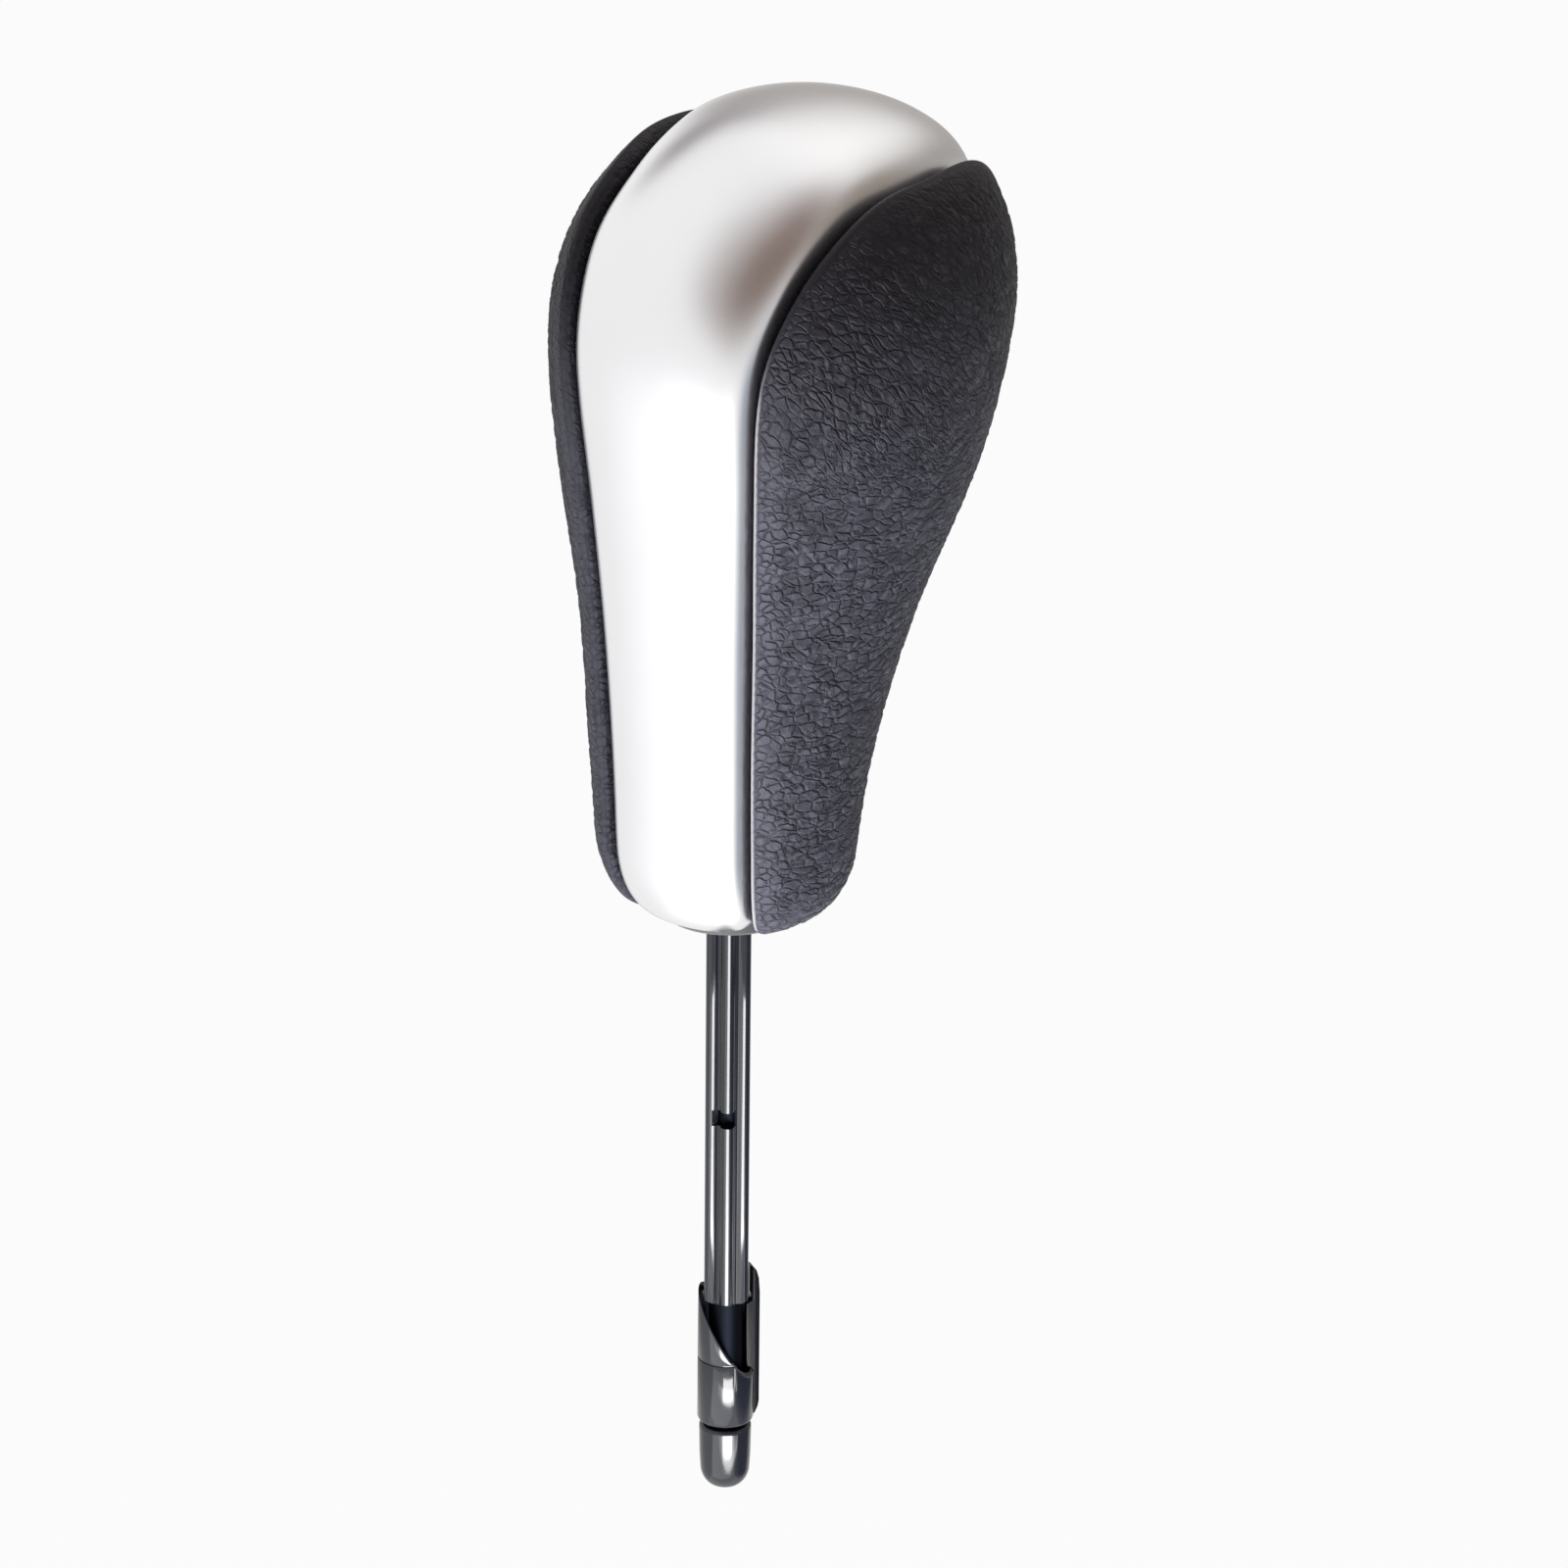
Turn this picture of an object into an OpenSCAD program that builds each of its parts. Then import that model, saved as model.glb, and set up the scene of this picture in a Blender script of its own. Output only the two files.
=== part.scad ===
// Gear shift knob with push rod
// All sizes in millimetres. The rod axis is Z and z = 0 is the underside of the collar.
// X is to the right, Y is forward (button side) and -Y is the side that faces the driver.

/* [Knob outline] */

// Height of the knob from the underside of the collar to the crown
knob_h = 100.6; // [97:0.2:106]
// Width of the knob over the leather just above the rounded base
base_w = 33.2; // [32:0.2:36]
// Width of the knob at a quarter of its height
grip_w = 36; // [34:0.5:39]
// Width of the knob at two fifths of its height
neck_w = 40.4; // [38:0.2:44]
// Width of the knob below the head
shoulder_w = 48.4; // [46:0.2:52]
// Widest width of the head
head_w = 52; // [50:0.5:56]
// Distance from the rod axis to the rear of the base
base_rear = 15; // [14.6:0.1:17]
// Distance from the rod axis to the rear of the head
head_rear = 20.2; // [19.6:0.2:23]
// Distance from the rod axis to the front of the base
base_front = 13.4; // [13:0.1:15]
// Distance from the rod axis to the front of the head
head_front = 41.2; // [40:0.2:44]
// Forward position of the highest point of the crown
crown_y = 11; // [8:0.5:14]
// Roundness of the cross-section, 2 is an ellipse and more is squarer
section_power = 2.15; // [2:0.05:2.4]
// Fullness of the head above its widest level, 1 is a plain ellipse and less is fuller
crown_power = 0.9; // [0.85:0.05:1.05]

/* [Silver trim] */

// Half width of the silver strip at the base
strip_base = 9.6; // [9:0.1:10.2]
// Half width of the silver strip at the rear of the head
strip_rear = 12.6; // [12:0.1:14]
// Half width of the silver strip over the crown
strip_crown = 15.6; // [14.6:0.2:17]
// Half width of the silver strip at the front of the head
strip_front = 10.4; // [10.2:0.1:11.2]
// Thickness of the silver strip
trim_t = 1.5; // [1.2:0.1:1.8]
// Half width of the silver strip where it meets the collar
strip_foot = 7; // [6:0.1:7.4]
// Extra depth of the valley beside the strip over the crown
crown_sink = 1; // [0.6:0.1:1.2]
// Extra width of the valley beside the strip over the crown
crown_gap = 1; // [0.5:0.1:1.2]
// How far the strip leans to the right over the crown
crown_lean = 1.2; // [0:0.1:1.4]
// How far the middle of the strip lies below the leather surface
trim_sink = 0.35; // [0.2:0.05:0.6]
// Extra depth to which the edges of the strip roll in
trim_roll = 1.85; // [1.2:0.05:2]

/* [Leather grips] */

// Thickness of the leather with its foam
leather_t = 1.35; // [1:0.05:1.6]
// Gap between the edge of the leather and the silver strip
seam_gap = 0.45; // [0.3:0.05:0.8]
// Swelling of the leather over the upper part of the head
leather_swell = 0.5; // [0.3:0.1:0.9]
// Width of leather that folds round the edge of the plastic shell
leather_fold = 1; // [0.8:0.1:1.4]
// Thickness of the plastic shell under the leather
shell_t = 1.7; // [1.4:0.1:2]

/* [Base and lever socket] */

// Diameter of the gear lever that the knob is pushed on to
lever_d = 12; // [11.6:0.1:12.2]
// Difference between the lever socket radius and the lever radius
lever_clear = 0.1; // [0.05:0.05:0.15]
// Distance from the crank pin down to the top of the lever socket
crank_to_socket = 19.2; // [18.4:0.2:24]
// Wall thickness of the socket sleeve
sleeve_t = 1.3; // [1.1:0.1:1.4]
// Radius of the grey collar on the underside
collar_r = 8; // [7.9:0.05:8.1]
// Height at which the rounded base ends above the underside of the collar
bowl_z = 0.3; // [0.3:0.1:0.8]
// Height at which the rounded base runs into the straight grip
bowl_top = 12; // [11:0.5:13]

/* [Push rod] */

// Length of rod that hangs below the collar
rod_drop = 78; // [60:1:90]
// Diameter over the ribs of the rod
rod_d = 6.1; // [5.8:0.1:6.2]
// Number of ribs round the rod
rib_count = 6; // [5:1:8]
// Width of one rounded rib
rib_w = 1.7; // [1.5:0.1:1.8]
// Distance below the collar of the notch in the rearmost rib
notch_drop = 26.6; // [20:0.2:36]
// Height of the notch
notch_h = 2; // [1:0.2:3]
// Diameter of the rounded rod tip
tip_d = 6.6; // [6.4:0.1:6.8]
// Length of the straight part of the rod tip
tip_straight = 6.4; // [5:0.2:7]
// Diameter of the cam sleeve
cam_d = 7.1; // [7:0.1:7.4]
// Height of the cam sleeve at its longer side
cam_h = 18.2; // [16:0.2:22]
// Height difference between the two sides of the slanted cam edge
cam_rise = 12; // [8:0.5:14]
// Radial height of the key on the cam sleeve
cam_key = 0.6; // [0.4:0.1:1.2]

/* [Release button] */

// Button travel, which is also the travel of the rod
travel = 4.5; // [3.5:0.1:4.5]
// Gap round the release button
button_gap = 0.4; // [0.3:0.05:0.6]
// Height of the visible button face
button_h = 17.5; // [16:0.5:18]
// Length of each arm of the bell crank
crank_arm = 12; // [11.5:0.1:12]
// Diameter of the crank pin
crank_pin_d = 2.4; // [2:0.1:2.6]
// Running clearance of the crank on its pin
pin_clear = 0.05; // [0.03:0.01:0.08]
// Clearance between the crank ends and their slots
slot_clear = 0.25; // [0.2:0.05:0.35]

/* [Fasteners] */

// Diameter of the core screws
screw_d = 2.5; // [2.2:0.1:2.6]
// Length of the core screws under the head
screw_len = 14; // [12:1:15]
// Diameter of the shank of the trim studs
stud_d = 3; // [2.6:0.1:3.2]
// Length of the trim studs under the head
stud_len = 4; // [3:0.5:4]
// Wire diameter of the return spring
spring_wire = 0.8; // [0.6:0.1:0.9]
// Number of turns of the return spring
spring_turns = 5; // [4:1:6]

/* [Hidden] */

$fn = 64;
zd = 0.72 * knob_h;
lev = [bowl_top, 0.25 * knob_h, 0.4 * knob_h, 0.55 * knob_h, zd];
half_ws = [base_w, grip_w, neck_w, shoulder_w, head_w] / 2;
rears = -[base_rear, base_rear + 0.6, base_rear + 1.8, head_rear - 2, head_rear];
fronts = [base_front, base_front + 3.2, base_front + 11.5, head_front - 7, head_front];
front_lean = 0.25;
ring_r = collar_r + 0.2;
socket_r = lever_d / 2 + lever_clear;
sleeve_r = socket_r + sleeve_t;
fit_gap = 0.1;
layer_gap = 0.2;
tube_r = sleeve_r + fit_gap + 1.7;
swing = asin(travel / 2 / crank_arm);
pivot_y = 12;
pivot_z = zd - 11.2;
roof_t = 3;
socket_depth = pivot_z - crank_to_socket;
floor_z = socket_depth + roof_t;
stem_z = pivot_z + crank_arm;
hook_z = pivot_z + travel / 2;
arm_t = 5;
hub_r = 3.6;
bar_w = 2.3;
web_y = 5.2;
end_r = 2;
head_z = hook_z - end_r - slot_clear - 2;
cross_z = head_z - 4.2;
cross_r = 0.8;
core_x = 9.2;
chamber_x = 6.6;
chamber_top = stem_z + 6.4;
core_in = 8;
slider_x = 7;
button_z0 = stem_z - 12.4;
button_z1 = button_z0 + button_h;
spring_r = 4.9;
rod_r = rod_d / 2;
rod_core_r = rod_r - rib_w / 2 - 0.05;
shank_r = 1.8;
rod_top = head_z - 0.4;
rib_top = floor_z + 2;
tip_r = tip_d / 2;
tip_top = -(rod_drop - tip_straight - 0.72 * tip_r);
cam_r = cam_d / 2;
cam_bore = rod_r + 0.08;
cam_z0 = tip_top + 0.6;
rib_end = cam_z0 + cam_h - 1.6;
key_turn = 52;
key_w = 2.4;
cam_turn = 12;
view_turn = -58;
shell_off = leather_t + layer_gap;
shell_in = shell_off + shell_t;
edge = seam_gap + leather_fold + 0.25;
flange_off = trim_sink + trim_t + 0.8 * trim_roll + 0.25;
flange_t = 1.2;
flange_lap = 1.6;
tube_z = 6.2;
stud_r = stud_d / 2;

// Outline functions
// Each channel (half width, rear, front) is a smooth curve over height that closes in a dome.
function slopes(v, last) = [for (i = [0:4])
    i == 0 ? 0.5 * (v[1] - v[0]) / (lev[1] - lev[0])
    : i == 4 ? last
    : let (h0 = lev[i] - lev[i - 1], h1 = lev[i + 1] - lev[i])
      ((v[i] - v[i - 1]) / h0 * h1 + (v[i + 1] - v[i]) / h1 * h0) / (h0 + h1)];
w_slope = slopes(half_ws, 0);
r_slope = slopes(rears, 0);
f_slope = slopes(fronts, front_lean);
function curve(v, m, z) =
    let (i = z >= lev[3] ? 3 : z >= lev[2] ? 2 : z >= lev[1] ? 1 : 0)
    let (h = lev[i + 1] - lev[i], t = (max(z, lev[0]) - lev[i]) / h)
    (2 * t^3 - 3 * t^2 + 1) * v[i] + (t^3 - 2 * t^2 + t) * h * m[i]
    + (3 * t^2 - 2 * t^3) * v[i + 1] + (t^3 - t^2) * h * m[i + 1];
function dome(v, m, pole, z, off) =
    let (h = knob_h - zd - off, s = min(1, (z - zd) / h), c = sqrt(1 - s * s))
    pole + (v - pole) * c^crown_power + m * h * s * c;
function bowl(z, off) =
    let (t = max(0, (bowl_top - z) / (bowl_top - bowl_z - off)))
    1 - sqrt(max(0, 1 - t * t));
function half_w(z, off) =
    z > zd ? dome(half_ws[4] - off, 0, 0, z, off)
    : let (a = curve(half_ws, w_slope, z) - off) a - (a - ring_r) * bowl(z, off);
function rear_y(z, off) =
    z > zd ? dome(rears[4] + off, 0, crown_y, z, off)
    : let (a = curve(rears, r_slope, z) + off) a - (a + ring_r) * bowl(z, off);
function front_y(z, off) =
    z > zd ? dome(fronts[4] - off, front_lean, crown_y, z, off)
    : let (a = curve(fronts, f_slope, z) - off) a - (a - ring_r) * bowl(z, off);
function mid_y(z, off) =
    let (r = rear_y(z, off), k = 0.5 + 0.02 * min(1, max(0, (z - 20) / 50)))
    r + k * (front_y(z, off) - r);
hub_y = mid_y(zd, 0);

// Point on the outline at a given x and height, side -1 is the rear and 1 the front
function flat_pt(x, z, off, side) =
    let (m = mid_y(z, off), q = 1 - (min(1, abs(x) / half_w(z, off)))^section_power)
    let (d = side < 0 ? rear_y(z, off) - m : front_y(z, off) - m)
    [x, m + d * (max(0, q))^(1 / section_power), z];

// Point on the head in a plane through the side hub, turned up from the rear by th
function over(x, y, z, off) =
    z >= knob_h - off ? 1
    : let (m = mid_y(z, off), e = y < m ? m - rear_y(z, off) : front_y(z, off) - m)
      (abs(x) / max(0.01, half_w(z, off)))^section_power + (abs(y - m) / max(0.01, e))^section_power - 1;
function seek(x, th, off, zb, lo, hi, n) =
    n == 0 ? (lo + hi) / 2
    : let (r = (lo + hi) / 2)
      over(x, hub_y - r * cos(th), zb + r * sin(th), off) > 0
      ? seek(x, th, off, zb, lo, r, n - 1) : seek(x, th, off, zb, r, hi, n - 1);
function fan_pt(x, th, off, zb = zd) =
    let (r = seek(x, th, off, zb, 0, 60, 17)) [x, hub_y - r * cos(th), zb + r * sin(th)];

// Half width of the silver strip along its path, and its lean over the crown
function rise(z) = (max(0, (z - bowl_top) / (zd - bowl_top)))^1.6;
function strip_low(z, side, off) =
    (side < 0 ? strip_base + (strip_rear - strip_base) * rise(z)
     : strip_base + (strip_front - strip_base) * rise(z)) - (strip_base - strip_foot) * bowl(z, off);
function strip_fan(th) =
    th < 90 ? strip_rear + (strip_crown - strip_rear) * sin(th)^1.5
    : strip_front + (strip_crown - strip_front) * sin(th)^1.2;
function lean(th) = crown_lean * sin(th)^2;

// Heights of the rows of a layer, first round the base and then up the grip
function row_z(b, off) =
    b < 0 ? bowl_z + off + (bowl_top - bowl_z - off) * (1 - cos(90 * (1 + b)))
    : bowl_top + (zd - bowl_top) * b;

// Grip layer over one side, from the rear seam round the side to the front seam
// Rows go up to the level of the hub and then fan over the head. Columns meet at the side line.
function turn(j, m, e, a, x0) =
    let (p0 = asin(min(0.999, x0 / a)), t = (j - e) / (m - e)) a * sin(p0 + (90 - p0) * t);
function col_x(j, m, xs, a, x0) = j < len(xs) ? x0 + xs[j] : turn(j, m, len(xs) - 1, a, x0 + xs[len(xs) - 1]);
function col_off(j, offs) = j < len(offs) ? offs[j] : offs[len(offs) - 1];
// Gap and folds are squeezed towards the foot, where the columns run together.
// lap holds how far the first column is tucked under the strip low down and high up,
// and how much deeper the first two columns lie over the crown.
function side_pt(i, j, side, lows, fans, m, gap, xs, offs, lap) =
    let (n = len(lows) - 1, k = j <= m ? j : 2 * m - j, s = j <= m ? -1 : 1, off = col_off(k, offs))
    i <= n
    ? let (z = row_z(lows[i], off), b = bowl(z, off), squeeze = 1 - 0.7 * b)
      let (x0 = strip_low(z, s, off) + squeeze * gap)
      let (tuck = k > 0 ? 0 : s > 0 ? lap[1] : mix(lap[0], lap[1], b))
      flat_pt(col_x(k, m, squeeze * xs, half_w(z, off), x0) - tuck, z, off, s)
    : let (th = fans[i - n - 1], full = s < 0 ? th : 180 - th)
      let (x0 = strip_fan(full) + side * lean(full) + gap + crown_gap * sin(full))
      let (tuck = k > 0 ? 0 : mix(lap[0], lap[1], min(1, max(0, (full - 90) / 50))))
      let (puff = off == 0 ? leather_swell * sin(full) * min(1, 2 * (m - k) / m) : 0)
      let (dip = k < 2 ? lap[2] * sin(full) : 0)
      k == m ? flat_pt(half_w(zd, off), zd, off, s)
      : fan_pt(col_x(k, m, xs, half_w(zd, off), x0) - tuck, full, off - puff + dip);
function side_id(i, j, n, f, m) =
    i <= n ? i * (2 * m + 1) + j
    : j == m ? n * (2 * m + 1) + m
    : (n + 1) * (2 * m + 1) + (i - n - 1) * 2 * m + (i == n + f && j > m ? 2 * m - j : j < m ? j : j - 1);
function side_count(n, f, m) = (n + 1) * (2 * m + 1) + (f - 1) * 2 * m + m;

module grip_layer(side, lows, fans, m, gap, xs_out, offs_out, xs_in, offs_in, lap) {
    n = len(lows) - 1;
    f = len(fans);
    rows = n + f;
    total = side_count(n, f, m);
    cells = [for (i = [0:rows]) for (j = [0:2 * m])
        if (i <= n || (j != m && (i < rows || j < m))) [i, j]];
    outer = [for (c = cells) side_pt(c[0], c[1], side, lows, fans, m, gap, xs_out, offs_out, lap)];
    inner = [for (c = cells) side_pt(c[0], c[1], side, lows, fans, m, gap, xs_in, offs_in, lap)];
    function id(i, j) = side_id(i, j, n, f, m);
    quads = [for (i = [0:rows - 1]) for (j = [0:2 * m - 1])
        [id(i, j), id(i, j + 1), id(i + 1, j + 1), id(i + 1, j)]];
    tris = [for (q = quads) for (t = [[q[0], q[2], q[1]], [q[0], q[3], q[2]]])
        if (t[0] != t[1] && t[1] != t[2] && t[2] != t[0]) t];
    rim = concat([for (j = [0:2 * m]) id(0, j)], [for (i = [1:rows]) id(i, 2 * m)],
        [for (i = [rows - 1:-1:1]) id(i, 0)]);
    nr = len(rim);
    walls = [for (k = [0:nr - 1]) let (a = rim[k], b = rim[(k + 1) % nr])
        for (t = [[a, b, b + total], [a, b + total, a + total]]) t];
    flipped = [for (t = tris) [t[0] + total, t[2] + total, t[1] + total]];
    pts = [for (p = concat(outer, inner)) [side * p[0], p[1], p[2]]];
    all = concat(tris, flipped, walls);
    polyhedron(pts, side < 0 ? [for (t = all) [t[2], t[1], t[0]]] : all);
}

// Silver strip layer between two ends of its path, with edges that roll in
// A row is [kind, place]. Kind -1 is up the rear, 0 is over the head, 1 is down the front,
// 2 is a level cut at the front and 3 turns from the last plane over the head to a level cut.
function strip_pt(r, u, off, inset) =
    r[0] == 0 ? fan_pt((strip_fan(r[1]) - inset) * u + lean(r[1]), r[1], off)
    : r[0] == 3 ? let (th = mix(160, 180, r[1]))
      fan_pt(strip_fan(th) * u + lean(th), th, off, mix(zd, brow_z, r[1]))
    : let (z = r[0] == 2 ? r[1] : row_z(r[1], off), s = r[0] < 0 ? -1 : 1)
      flat_pt((r[0] == 2 ? strip_front - inset : strip_low(z, s, off) - inset) * u, z, off, s);
function roll(u, r) =
    let (depth = trim_roll + (r[0] == 0 ? crown_sink * sin(r[1]) : 0))
    depth * (0.25 * (abs(u))^4 + 0.75 * (abs(u))^14);
function mix(a, b, t) = a + (b - a) * t;

module strip_layer(rows, cols, inset) {
    nr = len(rows);
    nc = len(cols);
    total = nr * nc;
    outer = [for (r = rows) for (u = cols) strip_pt(r, u, trim_sink + roll(u, r), inset)];
    inner = [for (r = rows) for (u = cols) strip_pt(r, u, trim_sink + trim_t + 0.8 * roll(u, r), inset)];
    tris = [for (i = [0:nr - 2]) for (j = [0:nc - 2]) let (a = i * nc + j)
        for (t = [[a, a + nc + 1, a + 1], [a, a + nc, a + nc + 1]]) t];
    rim = concat([for (j = [0:nc - 1]) j], [for (i = [1:nr - 1]) i * nc + nc - 1],
        [for (j = [nc - 2:-1:0]) (nr - 1) * nc + j], [for (i = [nr - 2:-1:1]) i * nc]);
    k = len(rim);
    walls = [for (q = [0:k - 1]) let (a = rim[q], b = rim[(q + 1) % k])
        for (t = [[a, b, b + total], [a, b + total, a + total]]) t];
    flipped = [for (t = tris) [t[0] + total, t[2] + total, t[1] + total]];
    polyhedron(concat(outer, inner), concat(tris, flipped, walls));
}

base_rows = [-1, -0.78, -0.56, -0.36, -0.18, 0];
grip_rows = concat(base_rows, [for (i = [1:12]) i / 12]);
core_rows = concat(base_rows, [for (i = [1:8]) i / 8]);
strip_cols = [-1, -0.97, -0.91, -0.8, -0.62, -0.32, 0, 0.32, 0.62, 0.8, 0.91, 0.97, 1];
brow_z = button_z1 + button_gap;
lip_z = button_z0 - button_gap;
lip = (lip_z - bowl_top) / (zd - bowl_top);

// Silver strip up the rear, over the crown and down to the button
module spine_trim() color([0.78, 0.77, 0.76]) {
    strip_layer(concat(
        [for (b = grip_rows) [-1, b]],
        [for (th = [8:8:160]) [0, th]],
        [for (t = [1:3]) [3, t / 3]]), strip_cols, 0);
}

// Silver strip under the button
module front_trim() color([0.78, 0.77, 0.76]) {
    rows = concat([for (b = base_rows) [1, b]], [for (i = [1:10]) [1, lip * i / 10]]);
    strip_layer(rows, -strip_cols, 0);
}

// Leather covers with rolled edges
module leather(side) color([0.13, 0.13, 0.15]) {
    grip_layer(side, grip_rows, [for (i = [1:9]) 10 * i], 9, seam_gap,
        [0, 0.45, leather_fold + 0.4], [1.4, 0.4, 0],
        [0, leather_fold, leather_fold], [shell_off + 1.1, shell_off + 1.1, leather_t], [0, 0, 0]);
}
module left_leather() leather(-1);
module right_leather() leather(1);

// Plastic shells under the leather
module grip_shell(side) color([0.2, 0.2, 0.21]) {
    grip_layer(side, core_rows, [for (i = [1:9]) 10 * i], 8, edge,
        [0, 0, 0], [flange_off, flange_off, shell_off],
        [-1.2, -1, 1.2], [flange_off + flange_t, flange_off + flange_t, shell_in],
        [edge + flange_lap, 0.4, 0.8 * crown_sink]);
}
module left_grip_shell() grip_shell(-1);
module right_grip_shell() grip_shell(1);

// Button face, flush with the strip
module release_button() color([0.75, 0.74, 0.73]) {
    rows = [for (i = [0:7]) [2, mix(button_z0, button_z1, i / 7)]];
    strip_layer(rows, -strip_cols, button_gap);
}

// Slider behind the button face, with a fork for the upright crank arm
module button_slider() color([0.16, 0.16, 0.17]) {
    z0 = stem_z - 9;
    z1 = stem_z + 3.4;
    face = trim_sink + trim_t + 0.8 * trim_roll + 0.15;
    y0 = flat_pt(slider_x, z0, face, 1)[1];
    y1 = flat_pt(slider_x, z1, face, 1)[1];
    back = pivot_y + 15;
    tip_y = pivot_y + travel / 2;
    difference() {
        union() {
            rotate([90, 0, 90]) linear_extrude(2 * slider_x, center = true)
                polygon([[back, z0], [y0, z0], [y1, z1], [back, z1]]);
            translate([-4, tip_y - end_r - slot_clear - 2.2, stem_z - 3])
                cube([8, back + 1 - tip_y + end_r + slot_clear + 2.2, 6]);
        }
        translate([-arm_t / 2 - 0.3, tip_y - end_r - slot_clear, stem_z - 4])
            cube([arm_t + 0.6, 2 * end_r + 2 * slot_clear, 8]);
        rotate([90, 0, 90]) linear_extrude(2 * slider_x - 3, center = true)
            polygon([
                [back + 1.6, z0 - 1], [y0 - 1.6, z0 - 1],
                [y0 - 1.2, stem_z - 4.6], [back + 1.6, stem_z - 4.6]]);
    }
}

// Bell crank that turns the push of the button into the drop of the rod
module bell_crank() color([0.85, 0.84, 0.8]) {
    translate([0, pivot_y, pivot_z]) rotate([-swing, 0, 0]) difference() {
        union() {
            rotate([0, 90, 0]) cylinder(r = hub_r, h = arm_t, center = true);
            translate([0, 0, crank_arm]) rotate([0, 90, 0]) cylinder(r = end_r, h = arm_t, center = true);
            translate([0, -crank_arm, 0]) rotate([0, 90, 0]) cylinder(r = end_r, h = arm_t, center = true);
            translate([-arm_t / 2, -bar_w / 2, 0]) cube([arm_t, bar_w, crank_arm]);
            translate([-arm_t / 2, -crank_arm, -bar_w / 2]) cube([arm_t, crank_arm, bar_w]);
            translate([-0.8, -web_y, -0.4]) rotate([45, 0, 0]) cube([1.6, web_y - 0.2, 2]);
        }
        rotate([0, 90, 0]) cylinder(r = crank_pin_d / 2 + pin_clear, h = arm_t + 2, center = true);
    }
}

module crank_pin() color([0.7, 0.71, 0.73]) {
    translate([0, pivot_y, pivot_z]) rotate([0, 90, 0])
        cylinder(r = crank_pin_d / 2, h = 2 * (chamber_x + 1.6), center = true);
}

// Carrier on the top of the rod, with a slot for the level crank arm
module rod_carrier() color([0.83, 0.82, 0.78]) {
    slot_h = 2 * end_r + 2 * slot_clear;
    difference() {
        union() {
            translate([0, 0, head_z - 7.6]) cylinder(r = 3.8, h = 7.6);
            translate([0, 0, head_z - 1.6]) cylinder(r = 6.2, h = 1.6);
            translate([-5.4, -5, head_z]) cube([10.8, 10.4, hook_z + end_r + slot_clear + 2 - head_z]);
        }
        translate([0, 0, head_z - 9]) cylinder(r = shank_r + 0.05, h = 9);
        translate([-arm_t / 2 - 0.3, -4, hook_z - slot_h / 2]) cube([arm_t + 0.6, 12, slot_h]);
        translate([-arm_t / 2 - 0.3, 2.4, hook_z - slot_h / 2 - 0.7]) cube([arm_t + 0.6, 12, slot_h + 1.4]);
        translate([0, 0, cross_z]) rotate([0, 90, 0]) cylinder(r = cross_r + 0.04, h = 12, center = true);
    }
}

module carrier_pin() color([0.7, 0.71, 0.73]) {
    translate([0, 0, cross_z]) rotate([0, 90, 0]) cylinder(r = cross_r, h = 7, center = true);
}

// Washer between the spring and the carrier flange
module spring_washer() color([0.66, 0.67, 0.68]) {
    translate([0, 0, head_z - 2.3]) difference() {
        cylinder(r = 6, h = 0.6);
        translate([0, 0, -1]) cylinder(r = 3.95, h = 3);
    }
}

// Return spring between the socket roof and the washer
module return_spring() color([0.6, 0.61, 0.63]) {
    z0 = floor_z + 0.1;
    z1 = head_z - 2.4;
    w = spring_wire / 2;
    step = 18;
    n = floor(spring_turns * 360 / step);
    dead = 0.8;
    ring = [for (i = [0:n])
        let (t = (i / n * spring_turns - dead) / (spring_turns - 2 * dead), a = i * step)
        let (z = mix(z0 + w, z1 - w, max(0, min(1, t))))
        [for (k = [0:5]) let (b = 60 * k, r = spring_r + w * cos(b))
            [r * cos(a), r * sin(a), z + w * sin(b)]]];
    pts = [for (r = ring) for (p = r) p];
    skin = [for (i = [0:n - 1]) for (k = [0:5]) let (a = 6 * i + k, b = 6 * i + (k + 1) % 6)
        for (t = [[a, b, b + 6], [a, b + 6, a + 6]]) t];
    ends = concat([for (k = [1:4]) [0, k + 1, k]], [for (k = [1:4]) [6 * n, 6 * n + k, 6 * n + k + 1]]);
    polyhedron(pts, concat(skin, ends));
}

// Ribbed rod with its rounded tip
module push_rod() color([0.07, 0.07, 0.08]) {
    difference() {
        union() {
            translate([0, 0, tip_top - 0.1]) cylinder(r = rod_core_r, h = rib_top - tip_top + 0.1);
            translate([0, 0, rib_top - 1]) cylinder(r = shank_r, h = rod_top - rib_top + 1);
            for (i = [0:rib_count - 1]) rotate([0, 0, view_turn + 360 * i / rib_count])
                translate([rod_r - rib_w / 2, 0, rib_end]) cylinder(d = rib_w, h = rib_top - 0.6 - rib_end);
            rotate_extrude() polygon([
                [0, -rod_drop], [0.3 * tip_r, -rod_drop + 0.035 * tip_r],
                [0.58 * tip_r, -rod_drop + 0.14 * tip_r], [0.8 * tip_r, -rod_drop + 0.31 * tip_r],
                [0.93 * tip_r, -rod_drop + 0.5 * tip_r], [tip_r, -rod_drop + 0.72 * tip_r],
                [tip_r, tip_top - 0.3], [tip_r - 0.3, tip_top], [0, tip_top]]);
        }
        rotate([0, 0, view_turn]) translate([rod_core_r - 0.1, -rib_w, -notch_drop - notch_h / 2])
            cube([rod_r, 2 * rib_w, notch_h]);
        translate([0, 0, cross_z]) rotate([0, 90, 0]) cylinder(r = cross_r + 0.04, h = 12, center = true);
    }
}

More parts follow.
